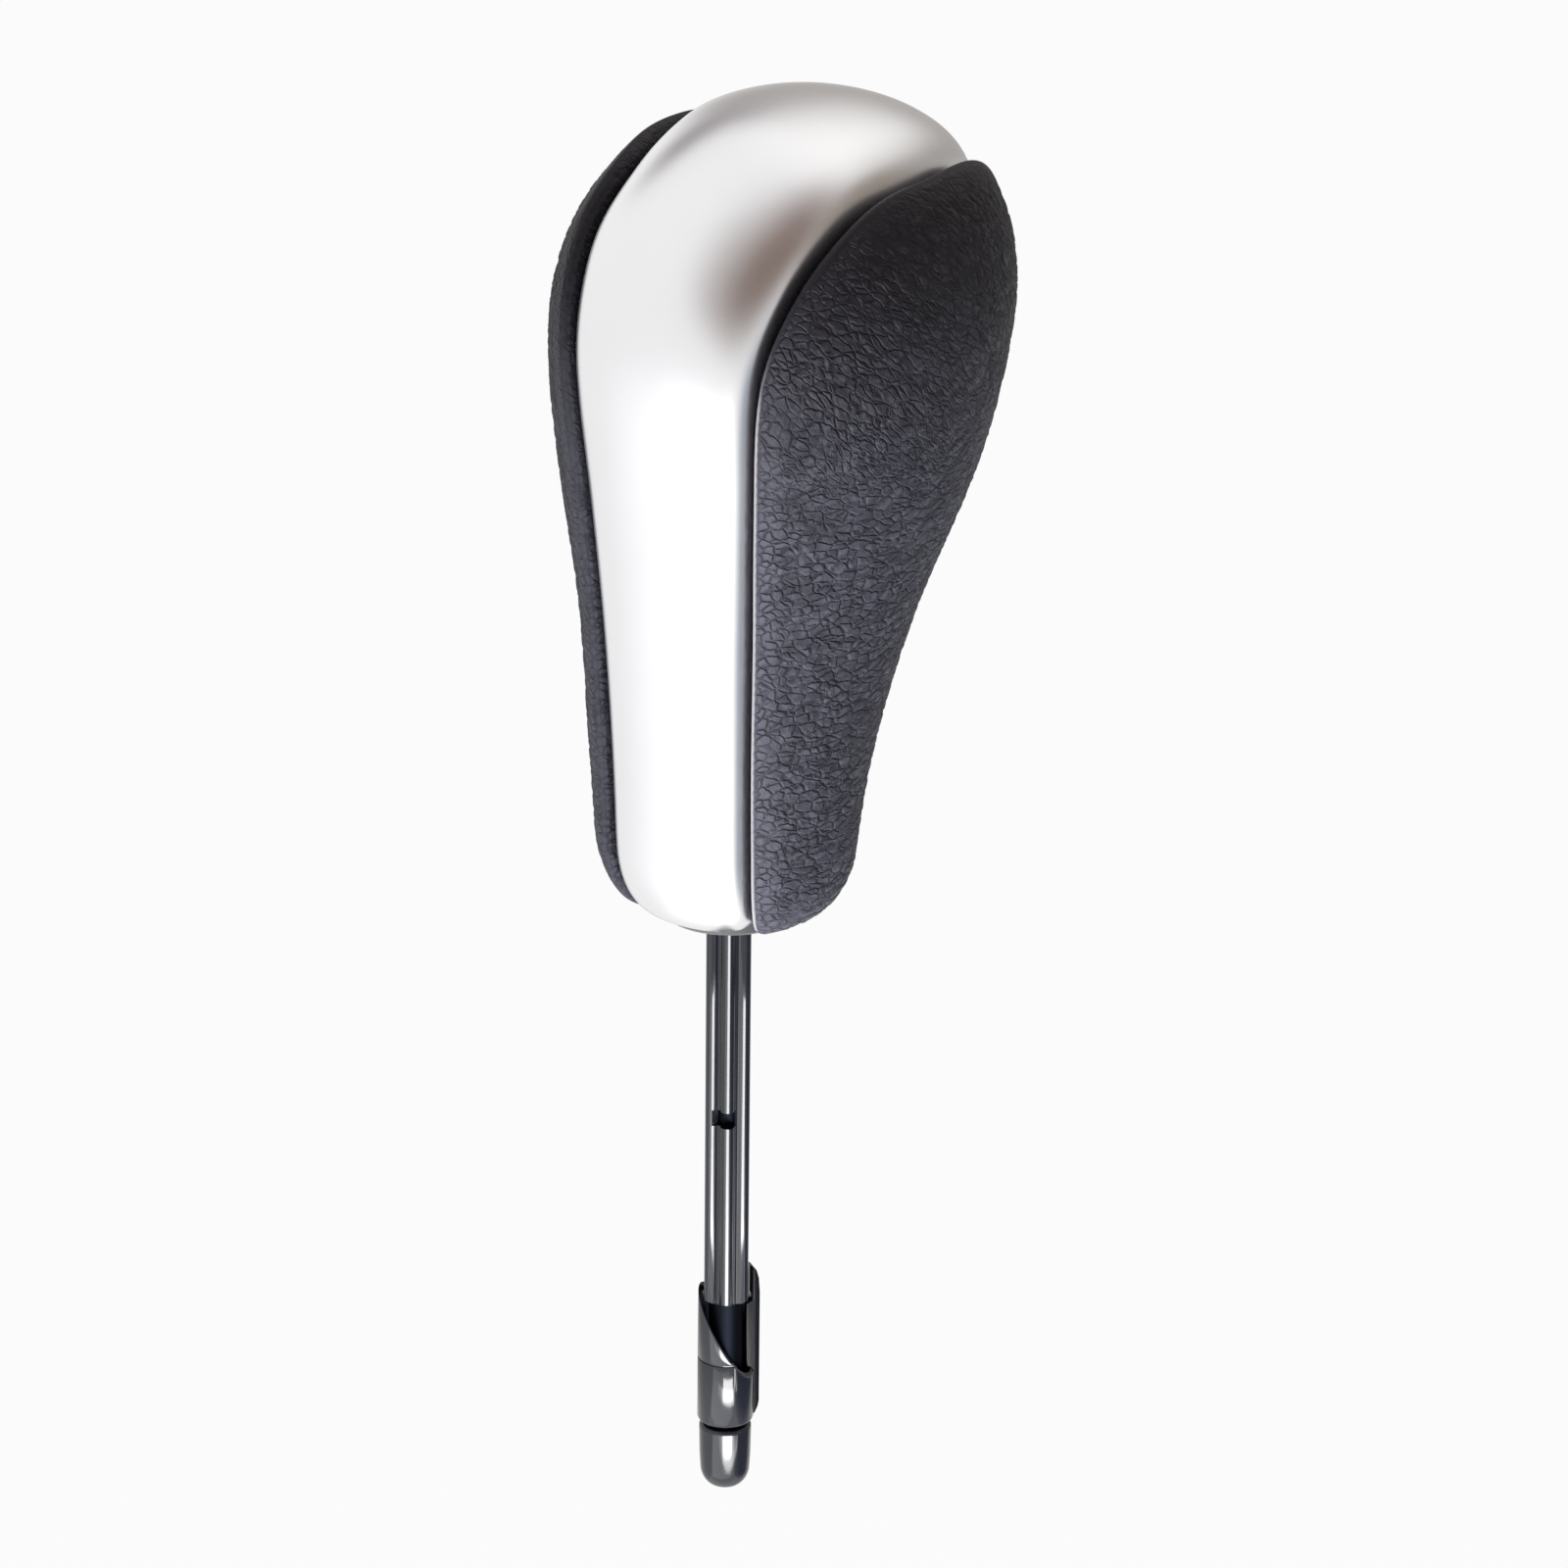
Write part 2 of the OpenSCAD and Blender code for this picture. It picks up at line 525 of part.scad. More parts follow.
// Cam sleeve with a slanted edge and a key, fixed above the rod tip
module cam_sleeve() color([0.08, 0.08, 0.09]) {
    lean = atan(cam_rise / (2 * cam_r));
    difference() {
        union() {
            rotate_extrude() polygon([
                [rod_core_r + 0.06, cam_z0], [cam_r - 0.4, cam_z0], [cam_r, cam_z0 + 0.4],
                [cam_r - 0.05, cam_z0 + cam_h], [cam_bore, cam_z0 + cam_h],
                [cam_bore, cam_z0 + 4.6], [rod_core_r + 0.06, cam_z0 + 3.6]]);
        }
        rotate([0, 0, cam_turn]) translate([0, 0, cam_z0 + cam_h - cam_rise / 2]) rotate([0, lean, 0])
            translate([-20, -10, 0]) cube([40, 20, 30]);
    }
    rotate([0, 0, key_turn]) rotate([90, 0, 0]) linear_extrude(key_w, center = true) polygon([
        [rod_core_r + 0.06, cam_z0 + 0.4], [cam_r, cam_z0 + 0.4], [cam_r + cam_key, cam_z0 + 2],
        [cam_r + cam_key, cam_z0 + cam_h - 1], [cam_r + cam_key - 0.15, cam_z0 + cam_h + 1],
        [cam_r + cam_key - 0.5, cam_z0 + cam_h + 2.2], [cam_bore + 0.02, cam_z0 + cam_h + 2.6],
        [cam_bore + 0.02, rib_end - 0.3], [rod_core_r + 0.06, rib_end - 0.3]]);
}

// Grey collar round the mouth of the lever socket
module base_collar() color([0.45, 0.45, 0.46]) {
    rotate_extrude() polygon([
        [socket_r + 0.5, 0], [collar_r - 0.3, 0], [collar_r, 0.3], [collar_r, tube_z - 0.1],
        [sleeve_r, tube_z - 0.1], [sleeve_r, 9.4], [sleeve_r + 0.35, 9.8], [sleeve_r + 0.35, 10.4],
        [sleeve_r, 10.8], [sleeve_r, 14], [socket_r, 14], [socket_r, 0.5]]);
}

// Steel sleeve that takes the lever, grooved for the retaining clip
module socket_sleeve() color([0.72, 0.73, 0.75]) {
    groove_z = socket_depth - 12;
    rotate_extrude() polygon([
        [socket_r, 14.1], [sleeve_r, 14.1], [sleeve_r, socket_depth - 0.1], [socket_r, socket_depth - 0.1],
        [socket_r, groove_z + 0.5], [socket_r + 0.65, groove_z + 0.5],
        [socket_r + 0.65, groove_z - 0.5], [socket_r, groove_z - 0.5]]);
}

// Open wire ring that snaps into the groove of the lever
module retaining_clip() color([0.6, 0.61, 0.63]) {
    translate([0, 0, socket_depth - 12]) rotate([0, 0, 120]) rotate_extrude(angle = 300)
        translate([socket_r + 0.18, 0]) circle(r = 0.4);
}

// Places of the studs that hold the trims and grips: position, tilt about X, turn about Z
stud_gap = 0.35;
trim_in = trim_sink + trim_t;
// Each stands square to the inside of the trim or shell that it holds.
function rear_stud(z) =
    let (a = atan((rear_y(z + 1, trim_in) - rear_y(z - 1, trim_in)) / 2))
    [[0, rear_y(z, trim_in), z], [90 - a, 0, 0]];
function front_stud(z) =
    let (a = atan((front_y(z + 1, trim_in) - front_y(z - 1, trim_in)) / 2))
    [[0, front_y(z, trim_in), z], [-90 - a, 0, 0]];
function side_stud(s, z) =
    let (a = atan((half_w(z + 1, shell_in) - half_w(z - 1, shell_in)) / 2))
    [[s * half_w(z, shell_in), mid_y(z, shell_in), z], [0, s * (90 + a), 0]];
studs = [
    rear_stud(0.2 * knob_h), rear_stud(0.44 * knob_h), rear_stud(zd - 3),
    [[0, crown_y, knob_h - trim_in], [0, 0, 0]],
    front_stud(0.22 * knob_h), front_stud(0.43 * knob_h),
    side_stud(-1, 0.26 * knob_h), side_stud(1, 0.26 * knob_h),
    side_stud(-1, pivot_z + 6), side_stud(1, pivot_z + 6)];
module at_stud(s) translate(s[0]) rotate(s[1]) translate([0, 0, -stud_gap]) children();
module at_studs() for (s = studs) at_stud(s) children();

module stud() {
    translate([0, 0, -1]) cylinder(r = stud_r + 1.1, h = 1);
    translate([0, 0, -1 - stud_len]) cylinder(r = stud_r, h = stud_len);
}
module trim_studs() color([0.86, 0.85, 0.8]) {
    at_studs() stud();
}

// Screws that close the two core halves, heads on the left
screw_at = [[-9.3, pivot_z + 1], [crown_y + 4, zd + 13], [20.5, pivot_z - 8.4]];
head_x = -core_x + 1.4;
module core_screws() color([0.55, 0.56, 0.58]) {
    for (s = screw_at) translate([head_x, s[0], s[1]]) rotate([0, 90, 0]) difference() {
        union() {
            translate([0, 0, -1.3]) cylinder(d = screw_d * 1.8, h = 1.3);
            cylinder(d = screw_d, h = screw_len);
        }
        translate([0, 0, -2]) cylinder(d = screw_d * 0.56, h = 1.6, $fn = 6);
    }
}

// Plate across the core whose ends support the grip shells from inside
plate_t = 1.6;
plate_gap = 0.3;
function flat_x(y, z, off) =
    let (m = mid_y(z, off), d = y < m ? m - rear_y(z, off) : front_y(z, off) - m)
    half_w(z, off) * (1 - (abs(y - m) / d)^section_power)^(1 / section_power);
function plate_x(y, z) = min(flat_x(y, z, shell_in), flat_x(y, z + plate_t, shell_in)) - plate_gap;
module core_plate(z) {
    ys = [for (i = [0:8]) hub_y + mix(-16.6, 11.4, i / 8)];
    translate([0, 0, z]) linear_extrude(plate_t)
        polygon(concat([for (y = ys) [plate_x(y, z), y]], [for (i = [8:-1:0]) [-plate_x(ys[i], z), ys[i]]]));
}

// Moulded core: socket tube, mechanism chamber, button channel, bosses and ribs
core_zs = concat([for (i = [0:5]) mix(socket_depth - 6, zd, i / 5)],
    [for (a = [20:20:60]) zd + (knob_h - zd - core_in) * sin(a)]);
module core_body() {
    difference() {
        union() {
            translate([0, 0, tube_z]) cylinder(r = tube_r, h = floor_z - tube_z);
            rotate([90, 0, 90]) linear_extrude(2 * core_x, center = true) polygon(concat(
                [for (z = core_zs) [rear_y(z, core_in), z]],
                [for (i = [len(core_zs) - 1:-1:0]) [front_y(core_zs[i], core_in), core_zs[i]]]));
            for (z = [pivot_z - 4, zd + 6]) core_plate(z);
            for (s = studs) at_stud(s) {
                reach = max(core_in + 6, abs(s[0][0]) - 2);
                translate([0, 0, -reach]) cylinder(r = stud_r + 1.3, h = reach - 1.2);
            }
        }
        translate([0, 0, -1]) cylinder(r = sleeve_r + fit_gap, h = socket_depth + 1);
        translate([0, 0, 9.4]) cylinder(r = sleeve_r + 0.5, h = 1.5);
        translate([0, 0, -1]) cylinder(r = rod_r + 0.5, h = floor_z + 3);
        translate([-chamber_x, -7.6, floor_z]) cube([2 * chamber_x, 15.2, chamber_top - floor_z]);
        translate([-chamber_x, 0, pivot_z - 6.3]) cube([2 * chamber_x, 18.4, chamber_top - pivot_z + 6.3]);
        translate([-slider_x - 0.2, 8, stem_z - 9.3]) cube([2 * slider_x + 0.4, 40, 13]);
        translate([-20, hub_y + 16, button_z0 - 3]) cube([40, 30, button_h + 5]);
        translate([0, pivot_y, pivot_z]) rotate([0, 90, 0])
            cylinder(r = crank_pin_d / 2 + 0.02, h = 2 * (chamber_x + 1.7), center = true);
        at_studs() translate([0, 0, -1.3 - stud_len]) cylinder(r = stud_r + 0.05, h = stud_len + 3);
        for (s = screw_at) translate([head_x, s[0], s[1]]) rotate([0, 90, 0]) {
            translate([0, 0, -20]) cylinder(d = screw_d * 1.8 + 0.4, h = 20);
            translate([0, 0, -1]) cylinder(d = screw_d + 0.04, h = screw_len + 1.5);
        }
    }
    for (s = [-1, 1]) difference() {
        translate([s * (arm_t / 2 + 0.3), pivot_y, pivot_z]) rotate([0, 90 * s, 0])
            cylinder(r = 3, h = chamber_x - arm_t / 2 - 0.2);
        translate([0, pivot_y, pivot_z]) rotate([0, 90, 0])
            cylinder(r = crank_pin_d / 2 + 0.02, h = 40, center = true);
    }
}
module core_half(side) color([0.24, 0.24, 0.25]) {
    intersection() {
        core_body();
        translate([side > 0 ? 0.02 : -40.02, -60, 0]) cube([40, 140, 120]);
    }
}
module core_left() core_half(-1);
module core_right() core_half(1);

spine_trim();
front_trim();
release_button();
left_leather();
right_leather();
left_grip_shell();
right_grip_shell();
core_left();
core_right();
button_slider();
bell_crank();
crank_pin();
rod_carrier();
carrier_pin();
spring_washer();
return_spring();
push_rod();
cam_sleeve();
base_collar();
socket_sleeve();
retaining_clip();
trim_studs();
core_screws();
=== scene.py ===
import math
import bmesh
import bpy
from mathutils import Matrix, Vector, kdtree, noise


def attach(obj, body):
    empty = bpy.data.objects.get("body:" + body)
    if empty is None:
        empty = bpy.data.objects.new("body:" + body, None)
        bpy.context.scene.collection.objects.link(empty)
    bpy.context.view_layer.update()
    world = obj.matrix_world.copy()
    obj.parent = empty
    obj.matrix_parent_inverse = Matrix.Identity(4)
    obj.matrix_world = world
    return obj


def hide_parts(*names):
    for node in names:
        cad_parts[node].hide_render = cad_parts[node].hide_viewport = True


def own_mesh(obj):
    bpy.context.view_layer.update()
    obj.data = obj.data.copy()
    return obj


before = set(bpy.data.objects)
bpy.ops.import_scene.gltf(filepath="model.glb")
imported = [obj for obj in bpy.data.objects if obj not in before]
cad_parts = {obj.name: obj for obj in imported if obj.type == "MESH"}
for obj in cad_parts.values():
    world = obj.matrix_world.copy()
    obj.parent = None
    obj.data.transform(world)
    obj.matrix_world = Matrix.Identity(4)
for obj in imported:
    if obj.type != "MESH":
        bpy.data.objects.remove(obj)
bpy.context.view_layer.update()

mm = 0.001
GRAIN_SLANT = math.radians(38)

# The noise that draws the creases of the leather is the same each run
noise.seed_set(5)


# Shader maths: arithmetic on a wire adds Math nodes
class Wire:
    def __init__(self, tree, socket=None):
        self.tree = tree
        self.socket = socket

    def node(self, kind, settings=None, sockets=None, out=0):
        made = self.tree.nodes.new("ShaderNode" + kind)
        for name, value in (settings or {}).items():
            setattr(made, name, value)
        for name, value in (sockets or {}).items():
            if isinstance(value, Wire):
                self.tree.links.new(value.socket, made.inputs[name])
            else:
                made.inputs[name].default_value = value
        return Wire(self.tree, made.outputs[out])

    def maths(self, operation, *values):
        return self.node("Math", {"operation": operation}, dict(enumerate(values)))

    def __add__(self, other):
        return self.maths("ADD", self, other)

    def __sub__(self, other):
        return self.maths("SUBTRACT", self, other)

    def __rsub__(self, other):
        return self.maths("SUBTRACT", other, self)

    def __mul__(self, other):
        return self.maths("MULTIPLY", self, other)

    __radd__ = __add__
    __rmul__ = __mul__

    def least(self, other):
        return self.maths("MINIMUM", self, other)

    def between(self, low, high):
        settings = {"interpolation_type": "SMOOTHSTEP"}
        return self.node("MapRange", settings, {"Value": self, "From Min": low, "From Max": high})

    def mix(self, low, high):
        return self.node("Mix", {"data_type": "RGBA"}, {"Factor": self, 6: low, 7: high}, out=2)

    def shade(self, dark, light):
        return self.mix((*dark, 1), (*light, 1))

    def part(self, axis):
        return self.node("SeparateXYZ", None, {0: self}, out=axis)

    def vector(self, operation, sockets=None, out="Vector"):
        return self.node("VectorMath", {"operation": operation}, {0: self, **(sockets or {})}, out=out)

    def at(self, scale, turn=(0, 0, 0)):
        return self.node("Mapping", None, {"Vector": self, "Rotation": turn, "Scale": scale})

    def cloud(self, scale, detail=3, out="Fac"):
        return self.node("TexNoise", None, {"Vector": self, "Scale": scale, "Detail": detail}, out=out)

    def cracks(self, scale):
        sockets = {"Vector": self, "Scale": scale}
        return self.node("TexVoronoi", {"feature": "DISTANCE_TO_EDGE"}, sockets, out="Distance")

    def warped(self, scale, reach):
        push = self.cloud(scale, 2, out="Color").vector("SUBTRACT", {1: (0.5, 0.5, 0.5)})
        return self.vector("ADD", {1: push.vector("SCALE", {"Scale": reach})})

    def end(self, kind):
        """Join this wire to the surface of a new output node."""
        output = self.tree.nodes.new("ShaderNodeOutput" + kind)
        self.tree.links.new(self.socket, output.inputs["Surface"])


# A finish: a material whose plain sockets are set and whose others are wired
class Finish:
    def __init__(self, name, **plain):
        self.made = bpy.data.materials.new(name)
        self.made.use_nodes = True
        tree = self.made.node_tree
        self.shader = tree.nodes["Principled BSDF"]
        for key, value in plain.items():
            self.shader.inputs[key.replace("_", " ")].default_value = value
        self.start = Wire(tree)
        self.place = self.start.node("TexCoord", out="Object")

    def wire(self, name, value):
        self.made.node_tree.links.new(value.socket, self.shader.inputs[name])

    def layer(self, name):
        """A value that the mesh holds at each vertex."""
        return self.start.node("Attribute", {"attribute_name": name}, out="Fac")

    def bump(self, height, depth, strength=1.0):
        return self.start.node("Bump", None, {"Height": height, "Distance": depth, "Strength": strength})


def satin_silver():
    f = Finish("satin_silver", Metallic=1.0)
    flake = f.place.cloud(9000, 1)
    haze = f.place.cloud(55, 3)
    worn = f.place.at((260, 260, 18)).cloud(1, 2)
    f.wire("Base Color", haze.shade((0.84, 0.84, 0.85), (0.9, 0.9, 0.91)))
    f.wire("Roughness", haze * 0.05 + worn * 0.04 + flake * 0.03 + 0.23)
    f.wire("Normal", f.bump(flake, 0.000004, 0.5))
    return f.made


def grained_leather():
    """Fine wrinkles between the creases of the mesh, level at the foot and slanted on the head, with painted shade
    in the creases and on the head, and a painted highlight along the rim of the right cover.
    """
    f = Finish("leather", IOR=1.48, Specular_IOR_Level=0.24)
    crease, edge = f.layer("crease"), f.layer("edge")
    right, high = f.place.part("X"), f.place.part("Z")
    pores = f.place.cloud(4200, 2)
    patch = f.place.cloud(160, 3)
    bent = f.place.warped(380, 0.001).warped(1300, 0.00045)
    level = bent.at((0.8, 0.45, 1)).cracks(1000).between(0, 0.19)
    turned = bent.at((1, 1, 1), (GRAIN_SLANT, 0, 0))
    slanted = turned.at((0.8, 0.3, 1)).cracks(1050).between(0, 0.19)
    on_head = high.between(0.052, 0.072)
    closed = f.place.cloud(420, 2).between(0.3, 0.62)
    wrinkle = 1 - (1 - level * (1 - on_head) - slanted * on_head) * (0.5 + closed * 0.5)
    calm = edge.between(0.07, 0.2) * (1 - high.between(0.078, 0.096) * 0.6)
    grain = (wrinkle * (0.35 + patch * 0.75) + pores * 0.22) * calm
    # Painted shade: the creases of the mesh and the wrinkle lines are darkened in the colour, over a random tone
    # in patches
    crease_shade_and_tone = (1 - crease * 0.8) * (wrinkle * 0.48 + 0.5) * (patch * 0.5 + 0.75)
    # Painted shade: a lit copy of the skin lower down and a far darker shaded copy on the head, for light that
    # comes from below
    lit_lower_skin = crease_shade_and_tone.shade((0.012, 0.012, 0.017), (0.1, 0.102, 0.133))
    shaded_upper_skin = crease_shade_and_tone.shade((0.005, 0.004, 0.006), (0.02, 0.017, 0.023))
    skin = high.between(0.05, 0.092).mix(lit_lower_skin, shaded_upper_skin)
    # Painted highlight: a pale grey line along the rim of the right cover below the head, where its rolled edge
    # catches the light
    painted_rim_highlight = (1 - edge.between(0.05, 0.1)) * (1 - high.between(0.066, 0.078)) * right.between(0.002, 0.006)
    f.wire("Base Color", painted_rim_highlight.mix(skin, (0.42, 0.41, 0.44, 1)))
    f.wire("Roughness", 0.46 + crease * 0.16 + pores * 0.08)
    f.wire("Normal", f.bump(grain, 0.00032))
    return f.made


def moulded(name, dark, light, rough):
    f = Finish(name)
    speck = f.place.cloud(2600, 3)
    haze = f.place.cloud(90, 2)
    f.wire("Base Color", haze.shade(dark, light))
    f.wire("Roughness", speck * 0.12 + haze * 0.08 + rough - 0.1)
    f.wire("Normal", f.bump(speck, 0.00001, 0.5))
    return f.made


def gloss_black():
    """Glossy, but with painted shade on the neck under the ribs and on the floor of the notch, where it is nearly
    black and rough.
    """
    f = Finish("gloss_black", IOR=1.52)
    drawn = f.place.at((2400, 2400, 45)).cloud(1, 2)
    haze = f.place.cloud(130, 3)
    high = f.place.part("Z")
    reach = f.place.vector("MULTIPLY", {1: (1, 1, 0)}).vector("LENGTH", out="Value")
    neck_height = (1 - high.between(-0.0522, -0.0519)) * high.between(-0.0692, -0.069)
    below_ribs = (1 - reach.between(0.0024, 0.0027)) * neck_height
    in_notch = (1 - reach.between(0.0016, 0.0018)) * high.between(-0.0279, -0.0277)
    # Painted shade: the neck inside the sleeve and the notch are made a near-black, rough metal so that they stay
    # dark as if in shadow
    recess_shade = below_ribs + in_notch
    f.wire("Base Color", (haze - recess_shade).shade((0.005, 0.006, 0.009), (0.014, 0.015, 0.022)))
    f.wire("Metallic", recess_shade)
    f.wire("Roughness", haze * 0.04 + drawn * 0.04 + 0.06 + recess_shade * 0.4)
    f.wire("Normal", f.bump(drawn * 0.6 + haze, 0.000012, 0.4))
    return f.made


def metal(name, dark, light, rough, turned):
    f = Finish(name, Metallic=1.0)
    lines = f.place.at(turned).cloud(1, 2)
    stain = f.place.cloud(240, 3)
    f.wire("Base Color", stain.shade(dark, light))
    f.wire("Roughness", lines * 0.14 + stain * 0.1 + rough - 0.1)
    f.wire("Normal", f.bump(lines, 0.000008, 0.5))
    return f.made


finishes = {
    "satin_silver": satin_silver(),
    "leather": grained_leather(),
    "black_plastic": moulded("black_plastic", (0.018, 0.018, 0.02), (0.03, 0.03, 0.033), 0.5),
    "core_plastic": moulded("core_plastic", (0.05, 0.05, 0.053), (0.085, 0.085, 0.09), 0.55),
    "white_plastic": moulded("white_plastic", (0.72, 0.7, 0.64), (0.8, 0.79, 0.74), 0.42),
    "grey_plastic": moulded("grey_plastic", (0.2, 0.2, 0.205), (0.28, 0.28, 0.29), 0.38),
    "gloss_black": gloss_black(),
    "steel": metal("steel", (0.5, 0.5, 0.51), (0.66, 0.66, 0.67), 0.32, (90, 90, 5200)),
    "spring_steel": metal("spring_steel", (0.34, 0.34, 0.35), (0.48, 0.48, 0.5), 0.3, (900, 900, 900)),
}


# Pieces, drawn in mm where a list of sizes is given
def put(name, bm, body, slot, *nodes):
    """A new piece that rides on a body, and stands for some solids where their nodes are given."""
    mesh = bpy.data.meshes.new(name)
    bm.to_mesh(mesh)
    bm.free()
    mesh.shade_smooth()
    piece = bpy.data.objects.new(name, mesh)
    bpy.context.scene.collection.objects.link(piece)
    mesh.materials.append(finishes[slot])
    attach(piece, body)
    if nodes:
        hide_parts(*nodes)
    return piece


def crisp(piece):
    """Shade the edges that turn by more than an angle as sharp ones."""
    piece.data.set_sharp_from_angle(angle=math.radians(38))
    return piece


def merged(node):
    """The mesh of a solid with its doubled points joined and its triangles made into quads."""
    bm = bmesh.new()
    bm.from_mesh(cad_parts[node].data)
    bmesh.ops.remove_doubles(bm, verts=bm.verts, dist=1e-6)
    bmesh.ops.join_triangles(
        bm, faces=bm.faces, angle_face_threshold=math.radians(50), angle_shape_threshold=math.radians(60))
    return bm


def sharpen(bm, limit, amount):
    """Keep the edges that turn by more than a limit, in degrees, sharper than the rest, and return them."""
    crease = bm.edges.layers.float.get("crease_edge") or bm.edges.layers.float.new("crease_edge")
    rims = [line for line in bm.edges if line.is_manifold and line.calc_face_angle() > math.radians(limit)]
    for line in rims:
        line[crease] = amount
    return rims


def smoothed(piece, levels):
    finer = piece.modifiers.new("smooth", "SUBSURF")
    finer.levels = finer.render_levels = levels
    ready = piece.evaluated_get(bpy.context.evaluated_depsgraph_get())
    piece.data = bpy.data.meshes.new_from_object(ready)
    piece.modifiers.clear()
    piece.data.shade_smooth()
    return piece


# Each shift of a seam: its centre, the radius moved in full, the radius where it ends, and the push, in mm
SEAM_SHIFTS = [
    (Vector((14, -9, 85)), 3, 17, Vector((0.62, 0.81, -0.79))),
    (Vector((-10.5, -1.5, 94)), 4, 13, Vector((1.41, -0.26, 0.4)))]


def ease(value, low, high):
    t = min(1.0, max(0.0, (value - low) / (high - low)))
    return t * t * (3 - 2 * t)


def shift_seams(bm):
    """Draw the seams over the head a little further to the right, with all that lies under them."""
    for v in bm.verts:
        for centre, inner, outer, push in SEAM_SHIFTS:
            near = 1 - ease((v.co / mm - centre).length, inner, outer)
            v.co += push * near * mm


def silver_part(node, name, body):
    bm = merged(node)
    sharpen(bm, 40, 0.75)
    shift_seams(bm)
    smoothed(put(name, bm, body, "satin_silver", node), 3)


def grip_shell(node, name):
    bm = merged(node)
    shift_seams(bm)
    crisp(put(name, bm, "knob", "black_plastic", node))


CREASE_DEPTH = 0.19 * mm
RIM_WIDTH = 5 * mm
RIM_STEPS = 12


def outer_skin(bm):
    """The faces reached from the outermost one without crossing a rim."""
    first = max(bm.faces, key=lambda face: abs(face.calc_center_median().x))
    reached, queue = {first}, [first]
    while queue:
        for line in queue.pop().edges:
            if line.calc_face_angle(0) < math.radians(50):
                for face in line.link_faces:
                    if face not in reached:
                        reached.add(face)
                        queue.append(face)
    return reached


def crease_depth(point):
    """How deep the grain of the leather is at a point, from 0 on a pebble to 1 in a fold."""
    slant = GRAIN_SLANT * ease(point.z, 0.045, 0.07)
    drift = noise.noise_vector(point * 260) * 1.1 * mm + noise.noise_vector(point * 900) * 0.3 * mm
    p = point + drift
    along = p.y * math.cos(slant) - p.z * math.sin(slant)
    across = p.y * math.sin(slant) + p.z * math.cos(slant)
    near = noise.voronoi(Vector((p.x * 650, along * 520, across * 900)))[0]
    pebble = 1 - ease(near[1] - near[0], 0.0, 0.34)
    fold = 1 - abs(noise.noise(Vector((p.x * 200, along * 170, across * 620))))
    long_fold = 1 - abs(noise.noise(Vector((p.x * 90 + 7, along * 70, across * 330))))
    patch = 0.5 + 0.5 * noise.noise(point * 130)
    return max(
        pebble * (0.4 + 0.35 * patch),
        ease(fold, 0.8, 1) * 0.75,
        ease(long_fold, 0.9, 1) * (0.5 + 0.5 * patch))


def leather_cover(node, name):
    bm = merged(node)
    rims = sharpen(bm, 50, 0.35)
    shift_seams(bm)
    ends = [[v.co for v in line.verts] for line in rims]
    rim_points = [a.lerp(b, step / RIM_STEPS) for a, b in ends for step in range(RIM_STEPS + 1)]
    for face in outer_skin(bm):
        face.material_index = 1
    piece = smoothed(put(name, bm, "knob", "leather", node), 3)
    bm = bmesh.new()
    bm.from_mesh(piece.data)
    skin_edges = [line for line in bm.edges if any(face.material_index == 1 for face in line.link_faces)]
    bmesh.ops.subdivide_edges(bm, edges=skin_edges, cuts=1, use_grid_fill=True)
    tree = kdtree.KDTree(len(rim_points))
    for i, point in enumerate(rim_points):
        tree.insert(point, i)
    tree.balance()
    edge = bm.verts.layers.float.new("edge")
    crease = bm.verts.layers.float.new("crease")
    bm.normal_update()
    for v in bm.verts:
        v[edge] = 1
    for v in {v for face in bm.faces if face.material_index == 1 for v in face.verts}:
        v[edge] = min(1.0, tree.find(v.co)[2] / RIM_WIDTH)
        v[crease] = crease_depth(v.co) * ease(v[edge], 0.15, 0.6)
    for v in bm.verts:
        v.co -= v.normal * v[crease] * CREASE_DEPTH
    for face in bm.faces:
        face.material_index = 0
    bm.to_mesh(piece.data)
    bm.free()
    piece.data.shade_smooth()
    return piece


ROD_R, RIB_W, CORE_R = 3.05, 1.7, 2.15
TIP_R, TIP_SHOULDER, TIP_HEIGHT, TIP_FLAT = 3.3, -75.2, 2.8, 0.7
REAR_RIB = math.radians(-58)
RIB_TURN = math.radians(60)
NOTCH_R, NOTCH_START, NOTCH_END = 1.5, math.radians(-44), math.radians(26)


def rib_reach(angle, sunk=0.0):
    """Distance from the rod axis to the ribbed outline, in mm, with the ribs sunk by some amount."""
    off = (angle - REAR_RIB + RIB_TURN / 2) % RIB_TURN - RIB_TURN / 2
    middle, half = ROD_R - RIB_W / 2 - sunk, RIB_W / 2
    side = middle * math.sin(off)
    if abs(side) >= half:
        return CORE_R
    return max(CORE_R, middle * math.cos(off) + math.sqrt(half ** 2 - side ** 2))


